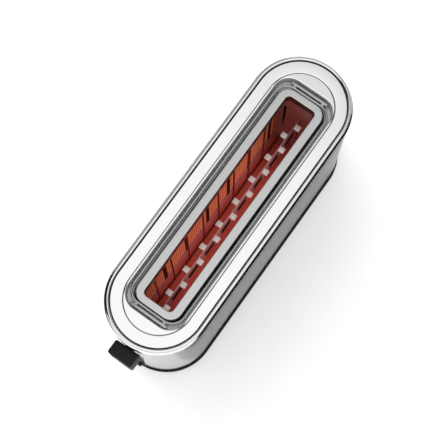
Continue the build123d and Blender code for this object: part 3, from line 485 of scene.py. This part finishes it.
# Bun rack: the wire loop, the two end bars and the lugs between them

rack = {"halfX": 134.9, "halfY": 30.2, "corner": 14.5, "height": 175.5, "wire": 1.4, "barX": 139.0,
        "barHalf": 22.0, "barWidth": 3.4, "barHeight": 3.0, "barRound": 0.8, "lugY": 17.0,
        "lugWidth": 4.0, "lugHalf": 0.7, "lugLap": 0.4, "lugRound": 0.25}


def makeRack():
    c = rack
    bm = bmesh.new()
    wire = arc(c["corner"], c["height"], c["wire"], 0, 330, 11)
    sweepAround(bm, wire, c["halfX"] - c["corner"], c["halfY"] - c["corner"], steps=14)
    for sx in (-1, 1):
        # the bar is a round plate drawn out sideways, raised and rounded along its rims
        x = bodyX + sx * c["barX"]
        half = c["barWidth"] / 2
        low = c["height"] - c["barHeight"] / 2
        disc = bmesh.ops.create_circle(bm, cap_ends=True, segments=24, radius=half,
                                       matrix=Matrix.Translation((x, 0, low)))["verts"]
        for v in disc:
            v.co.y += (c["barHalf"] - half) * (1 if v.co.y > 1e-6 else -1)
        faces = list({f for v in disc for f in v.link_faces})
        grown = bmesh.ops.extrude_face_region(bm, geom=faces)["geom"]
        bmesh.ops.translate(bm, vec=(0, 0, c["barHeight"]), verts=pick(grown, BMVert))
        rims = list({e for f in pick(grown, BMFace) for e in f.edges})
        bmesh.ops.bevel(bm, geom=rims, offset=c["barRound"], affect="EDGES", segments=3, profile=0.5,
                        material=-1)
        ends = sorted((bodyX + sx * (c["halfX"] + c["lugLap"]), x))
        for sy in (-1, 1):
            y = sy * c["lugY"]
            brick(bm, (ends[0], y - c["lugWidth"] / 2, c["height"] - c["lugHalf"]),
                  (ends[1], y + c["lugWidth"] / 2, c["height"] + c["lugHalf"]), c["lugRound"])
    finishPiece(bm, "rackSkin", "rack", finishes["rackChrome"], ["bun_rack"], sharp=45)


makeRack()


# Bread carriage: a pressed strip with hollows between its posts, closed by near-black backs that are painted shade,
# and tabs bent left and right in turn

carriage = {"low": 84.0, "top": 120.0, "half": 0.6, "run": 124.0, "rearEnd": 135.5, "frontEnd": -143.0,
            "tailLow": 108.0, "tailTop": 118.0, "tab": 6.3, "tabRound": 0.3, "pitch": 14.75, "tabs": 17,
            "hollowFrom": 12.5, "hollowLong": 16.5, "hollowLow": 84.8, "hollowTop": 105.5, "margin": 3.0,
            "postLap": 0.3, "backHalf": 0.45, "backLap": 0.5, "edge": 0.12}


def makeCarriage():
    c = carriage
    half, edge, low, high = c["half"], c["edge"], c["hollowLow"], c["hollowTop"]
    left, right = bodyX - c["run"], bodyX + c["run"]
    bm = bmesh.new()

    def tabX(i):
        return bodyX + (i - (c["tabs"] - 1) / 2) * c["pitch"]

    def paintNew(before, index):
        for face in set(bm.faces) - before:
            face.material_index = index

    starts = [tabX(i) + c["hollowFrom"] for i in range(-2, c["tabs"], 2)]
    hollows = [(max(x, left + c["margin"]), min(x + c["hollowLong"], right - c["margin"])) for x in starts]
    hollows = [h for h in hollows if h[1] - h[0] > c["margin"]]
    brick(bm, (left, -half, high), (right, half, c["top"]), edge)
    brick(bm, (left, -half, c["low"]), (right, half, low), edge)
    for start, end in zip([left] + [h[1] for h in hollows], [h[0] for h in hollows] + [right]):
        brick(bm, (start, -half, low - c["postLap"]), (end, half, high + c["postLap"]), edge)
    for end in (bodyX + c["rearEnd"], bodyX + c["frontEnd"]):
        brick(bm, (min(end, bodyX), -half, c["tailLow"]), (max(end, bodyX), half, c["tailTop"]), edge)

    # near-black backs closing the hollows: painted shade
    strip = set(bm.faces)
    lap = c["backLap"]
    for start, end in hollows:
        brick(bm, (start - lap, -c["backHalf"], low - lap), (end + lap, c["backHalf"], high + lap))
    paintNew(strip, 1)

    strip = set(bm.faces)
    for i in range(c["tabs"]):
        x = tabX(i)
        ys = (0, c["tab"] + half) if i % 2 else (-c["tab"] - half, 0)
        brick(bm, (x - c["tab"] / 2, ys[0], c["top"] - 2 * half), (x + c["tab"] / 2, ys[1], c["top"]),
              c["tabRound"], 3)
    paintNew(strip, 2)
    piece = finishPiece(bm, "carriageSkin", "carriage", finishes["carriageSteel"],
                        ["bread_carriage"], recalc=False)
    piece.data.materials.append(finishes["hollowPaintedShade"])
    piece.data.materials.append(finishes["tabSteel"])


makeCarriage()


# Shell: one steel band round the body, with its openings cut out

shell = {"outer": 53.0, "run": 121.0, "low": 11.0, "high": 169.4, "sheet": 0.8, "footRound": 0.15,
         "bands": 8, "leverHalf": 4.6, "leverLow": 61.6, "leverHigh": 144.4, "dialZ": 36.0,
         "dialHole": 3.2, "buttonAngle": 30.0, "buttonZ": (78.0, 96.0, 114.0), "buttonHole": 4.8,
         "mouthFrom": 20.0, "mouthHalf": 29.0, "mouthTop": 24.2, "glandZ": 40.0, "glandHole": 6.5,
         "cutIn": 6.0, "cutOut": 4.0,
         # how far in the band is drawn at each drop below its top edge
         "drawnIn": [(17.0, 0.0), (13.0, 0.02), (9.0, 0.08), (5.0, 0.18), (0.2, 0.38), (0.0, 0.5)]}


def makeShell():
    c = shell
    outer, inner, low, high = c["outer"], c["outer"] - c["sheet"], c["low"], c["high"]
    bm = bmesh.new()
    heights = [low + (high - low) * k / c["bands"] for k in range(1, c["bands"])]
    profile = [(outer - c["footRound"], low), (outer, low + c["footRound"])] + [(outer, h) for h in heights]
    profile += [(outer - lean, high - drop) for drop, lean in c["drawnIn"]] + [(inner, high)]
    profile += [(inner, h) for h in reversed(heights)] + [(inner, low)]
    sweepAround(bm, profile, c["run"], 0, steps=48)
    piece = finishPiece(bm, "shellSkin", "housing", finishes["shellSteel"], ["shell"], sharp=30)

    cutter = bmesh.new()
    front, back = bodyX - c["run"] - outer, bodyX + c["run"] + outer
    brick(cutter, (front - c["cutOut"], -c["leverHalf"], c["leverLow"]),
          (front + c["cutIn"], c["leverHalf"], c["leverHigh"]))
    roundBar(cutter, (front - c["cutOut"], 0, c["dialZ"]), (front + c["cutIn"], 0, c["dialZ"]),
             c["dialHole"], 32)
    turn = radians(c["buttonAngle"])
    centre = bodyX - c["run"]
    for z in c["buttonZ"]:
        ends = [(centre - r * cos(turn), r * sin(turn), z) for r in (outer - c["cutIn"], outer + c["cutOut"])]
        roundBar(cutter, *ends, c["buttonHole"], 40)
    brick(cutter, (bodyX + c["run"] + c["mouthFrom"], -c["mouthHalf"], low - c["cutOut"]),
          (back + c["cutOut"], c["mouthHalf"], c["mouthTop"]))
    roundBar(cutter, (back - c["cutIn"], 0, c["glandZ"]), (back + c["cutOut"], 0, c["glandZ"]),
             c["glandHole"], 40)
    bmesh.ops.recalc_face_normals(cutter, faces=cutter.faces)
    bmesh.ops.scale(cutter, vec=(mm, mm, mm), verts=cutter.verts)
    mesh = bpy.data.meshes.new("shellCutter")
    cutter.to_mesh(mesh)
    cutter.free()
    tool = bpy.data.objects.new("shellCutter", mesh)
    bpy.context.scene.collection.objects.link(tool)
    cut = piece.modifiers.new("openings", "BOOLEAN")
    cut.object = tool
    cut.operation = "DIFFERENCE"
    cut.solver = "EXACT"
    bpy.context.view_layer.update()
    ready = bpy.data.meshes.new_from_object(piece.evaluated_get(bpy.context.evaluated_depsgraph_get()))
    piece.modifiers.clear()
    piece.data = ready
    bpy.data.objects.remove(tool)
    ready.set_sharp_from_angle(angle=radians(30))


makeShell()


# Lever knob: a block with rounded edges

knob = {"tip": -190.5, "inner": -175.2, "half": 14.0, "low": 124.0, "high": 160.0, "round": 2.2}


def makeKnob():
    c = knob
    bm = bmesh.new()
    brick(bm, (bodyX + c["tip"], -c["half"], c["low"]), (bodyX + c["inner"], c["half"], c["high"]), c["round"], 4)
    finishPiece(bm, "knobSkin", "carriage", finishes["blackPlastic"], ["lever_knob"], sharp=50)


makeKnob()


# Browning dial: a turned knob with shallow flutes and a white pointer line

dial = {"back": -175.3, "depth": 3.6, "radius": 8.0, "bore": 4.0, "height": 36.0, "edge": 1.0,
        "backEdge": 0.5, "shoulder": 0.2, "faceRound": 0.35, "faceWide": 1.8, "dishWide": 2.2,
        "dish": 0.3, "axis": 0.01, "flutes": 22, "flute": 0.3, "fluteBand": 0.02, "markHalf": 0.5,
        "markFrom": 2.4, "markTo": 6.6, "markLow": 0.05, "markDeep": 0.6, "markRound": 0.1}


def makeDial():
    c = dial
    height, r = c["height"], c["radius"]
    bm = bmesh.new()
    back = bodyX + c["back"]
    front = back - c["depth"]
    steps = [(back, c["bore"]), (back, r - c["backEdge"]), (back - c["backEdge"], r),
             (front + c["edge"] + c["shoulder"], r), (front + c["backEdge"], r - c["faceRound"]),
             (front, r - c["edge"]), (front, r - c["faceWide"]), (front + c["dish"], r - c["dishWide"]),
             (front + c["dish"], c["axis"])]
    turnedAbout(bm, steps, height, c["flutes"] * 4)
    for v in bm.verts:
        out = Vector((0, v.co.y, v.co.z - height))
        if abs(out.length - r) < c["fluteBand"]:
            angle = out.yz.angle_signed(Vector((1, 0)), 0)
            out *= 1 - c["flute"] / r * (0.5 - 0.5 * cos(c["flutes"] * angle))
            v.co.y, v.co.z = out.y, height + out.z
    finishPiece(bm, "dialSkin", "dial", finishes["dialPlastic"], ["browning_dial"])
    mark = bmesh.new()
    brick(mark, (front + c["markLow"], -c["markHalf"], height + c["markFrom"]),
          (front + c["markDeep"], c["markHalf"], height + c["markTo"]), c["markRound"])
    finishPiece(mark, "dialMark", "dial", finishes["markWhite"])


makeDial()


# Push buttons: turned caps with a dished face

button = {"radius": 4.5, "proud": 1.6, "back": 50.8, "stem": 2.0, "stemEnd": 41.1, "round": 0.7,
          "roundTurn": 0.2, "rim": 1.2, "rimDrop": 0.05, "dish": 0.35, "dishRadius": 1.6, "axis": 0.01}


def makeButtons():
    c = button
    turn = radians(shell["buttonAngle"])
    face, r = shell["outer"] + c["proud"], c["radius"]
    steps = [(c["stemEnd"], c["axis"]), (c["stemEnd"], c["stem"]), (c["back"], c["stem"]), (c["back"], r),
             (face - c["round"], r), (face - c["roundTurn"], r - c["roundTurn"]), (face, r - c["round"]),
             (face - c["rimDrop"], r - c["rim"]), (face - c["dish"], c["dishRadius"]),
             (face - c["dish"], c["axis"])]
    for name, z in zip(("stop", "defrost", "reheat"), shell["buttonZ"]):
        bm = bmesh.new()
        turnedAbout(bm, [(-x, radius) for x, radius in steps], 0, 40)
        place = Matrix.Translation((bodyX - shell["run"], 0, z)) @ Matrix.Rotation(-turn, 4, "Z")
        bmesh.ops.transform(bm, matrix=place, verts=bm.verts)
        finishPiece(bm, name + "Skin", name, finishes["dialPlastic"], [name + "_button"])


makeButtons()


# Floor, world, light, and the cards that only the polished steel sees

studio = {
    "floor": 6.0, "horizon": 0.62, "zenith": 1.12, "rightSide": 0.42, "fill": 12.0, "fillSize": 1.6,
    "fillSpot": (0.55, 0.95, 1.35), "fillAim": (0, 0, 0.1),
    "floorLook": {"dark": (0.90, 0.90, 0.90), "light": (0.93, 0.93, 0.93), "rough": (0.7, 0.8),
                  "grain": (40, 40, 40),
                  "sockets": {"Emission Color": (1, 1, 1, 1), "Emission Strength": 0.30}},
    # each card's shade and its corners in millimetres
    "cards": {
        "nearCard": (0.01, [(-150, -72, 1), (420, -72, 1), (520, -420, 1), (-150, -420, 1)]),
        "wallCard": (0.86, [(-172, -62, 1), (-150, -54, 1), (420, -54, 1), (420, -72, 1),
                            (-150, -72, 1), (-186, -84, 1)]),
        "nearBoard": (0.01, [(-150, -420, 1), (520, -420, 1), (520, -420, 230), (-150, -420, 230)]),
        "cornerCard": (0.01, [(-130, 110, 1), (-480, 110, 1), (-560, 500, 1), (-125, 500, 1)]),
        "cornerBoard": (0.01, [(-125, 500, 1), (-560, 500, 1), (-700, 500, 1400), (10, 500, 1400)]),
        "farCard": (0.12, [(-120, 62, 1), (420, 62, 1), (520, 400, 1), (-120, 400, 1)]),
        "farBoard": (0.40, [(-120, 510, 1), (700, 510, 1), (700, 510, 1500), (-120, 510, 1500)]),
    },
}
# brightness of the world by height, and by side from the left to the right
upStops = [(0.0, studio["horizon"]), (0.35, studio["horizon"] * 1.2), (0.7, studio["zenith"] * 0.9),
           (0.9, studio["zenith"]), (1.0, studio["zenith"])]
sideStops = [(0.0, 1.0), (0.26, 0.96), (0.30, 0.86), (0.325, 0.66), (0.42, 0.5),
             (0.7, studio["rightSide"]), (1.0, studio["rightSide"])]


def stageSheet(bm, name, material):
    mesh = bpy.data.meshes.new(name)
    bm.to_mesh(mesh)
    bm.free()
    mesh.materials.append(material)
    sheet = bpy.data.objects.new(name, mesh)
    bpy.context.scene.collection.objects.link(sheet)
    return sheet


def makeFloor():
    bm = bmesh.new()
    bmesh.ops.create_grid(bm, x_segments=2, y_segments=2, size=studio["floor"] / 2)
    stageSheet(bm, "floor", makeFinish("paleFloor", studio["floorLook"]))


def makeWorld():
    world = bpy.data.worlds.new("studioWorld")
    bpy.context.scene.world = world
    world.use_nodes = True
    tree = world.node_tree
    place = tree.nodes.new("ShaderNodeTexCoord").outputs["Generated"]
    apart = tree.nodes.new("ShaderNodeSeparateXYZ")
    tree.links.new(place, apart.inputs["Vector"])
    product = tree.nodes.new("ShaderNodeVectorMath")
    product.operation = "MULTIPLY"
    for index, (axis, stops) in enumerate((("Z", upStops), ("X", sideStops))):
        node = tree.nodes.new("ShaderNodeValToRGB")
        while len(node.color_ramp.elements) < len(stops):
            node.color_ramp.elements.new(0.5)
        for element, (at, value) in zip(node.color_ramp.elements, stops):
            element.position = at
            element.color = (value, value, value, 1)
        tree.links.new(apart.outputs[axis], node.inputs["Fac"])
        tree.links.new(node.outputs["Color"], product.inputs[index])
    tree.links.new(product.outputs["Vector"], tree.nodes["Background"].inputs["Color"])


def makeFill():
    c = studio
    lamp = bpy.data.lights.new("fillSoftbox", "AREA")
    lamp.shape = "SQUARE"
    lamp.size = c["fillSize"]
    lamp.energy = c["fill"]
    holder = bpy.data.objects.new("fillSoftbox", lamp)
    bpy.context.scene.collection.objects.link(holder)
    holder.location = c["fillSpot"]
    aim = Vector(c["fillAim"]) - Vector(c["fillSpot"])
    holder.rotation_euler = aim.to_track_quat("-Z", "Y").to_euler()
    holder.visible_glossy = False


def makeCards():
    for name, (shade, corners) in studio["cards"].items():
        card = bpy.data.materials.new(name)
        card.use_nodes = True
        shader = card.node_tree.nodes["Principled BSDF"]
        shader.inputs["Base Color"].default_value = (shade, shade, shade, 1)
        shader.inputs["Specular IOR Level"].default_value = 0.0
        bm = bmesh.new()
        bm.faces.new([bm.verts.new(Vector(corner) * mm) for corner in corners])
        board = stageSheet(bm, name, card)
        for ray in ("camera", "diffuse", "shadow", "transmission", "volume_scatter"):
            setattr(board, "visible_" + ray, False)


makeFloor()
makeWorld()
makeFill()
makeCards()
print("studio ready")


# Camera fitted to the outlines of the photograph: spot in millimetres, focal length in its pixels

camera = {"spot": (-221.0, -152.8, 1308.2), "look": (0.1763, 0.1270, -0.9761),
          "up": (0.7957, 0.5654, 0.2173), "focal": 1168.8, "photoWide": 445, "sensor": 36,
          "near": 0.01, "far": 50}


def makeCamera():
    c = camera
    data = bpy.data.cameras.new("photoCamera")
    data.sensor_width = c["sensor"]
    data.lens = c["focal"] / c["photoWide"] * c["sensor"]
    data.clip_start, data.clip_end = c["near"], c["far"]
    holder = bpy.data.objects.new("photoCamera", data)
    bpy.context.scene.collection.objects.link(holder)
    back = -Vector(c["look"]).normalized()
    right = Vector(c["up"]).cross(back).normalized()
    turn = Matrix((right, back.cross(right), back)).transposed().to_4x4()
    holder.matrix_world = Matrix.Translation(Vector(c["spot"]) * mm) @ turn
    bpy.context.scene.camera = holder


makeCamera()
settings = bpy.context.scene.view_settings
settings.view_transform = "Standard"
settings.look = "None"
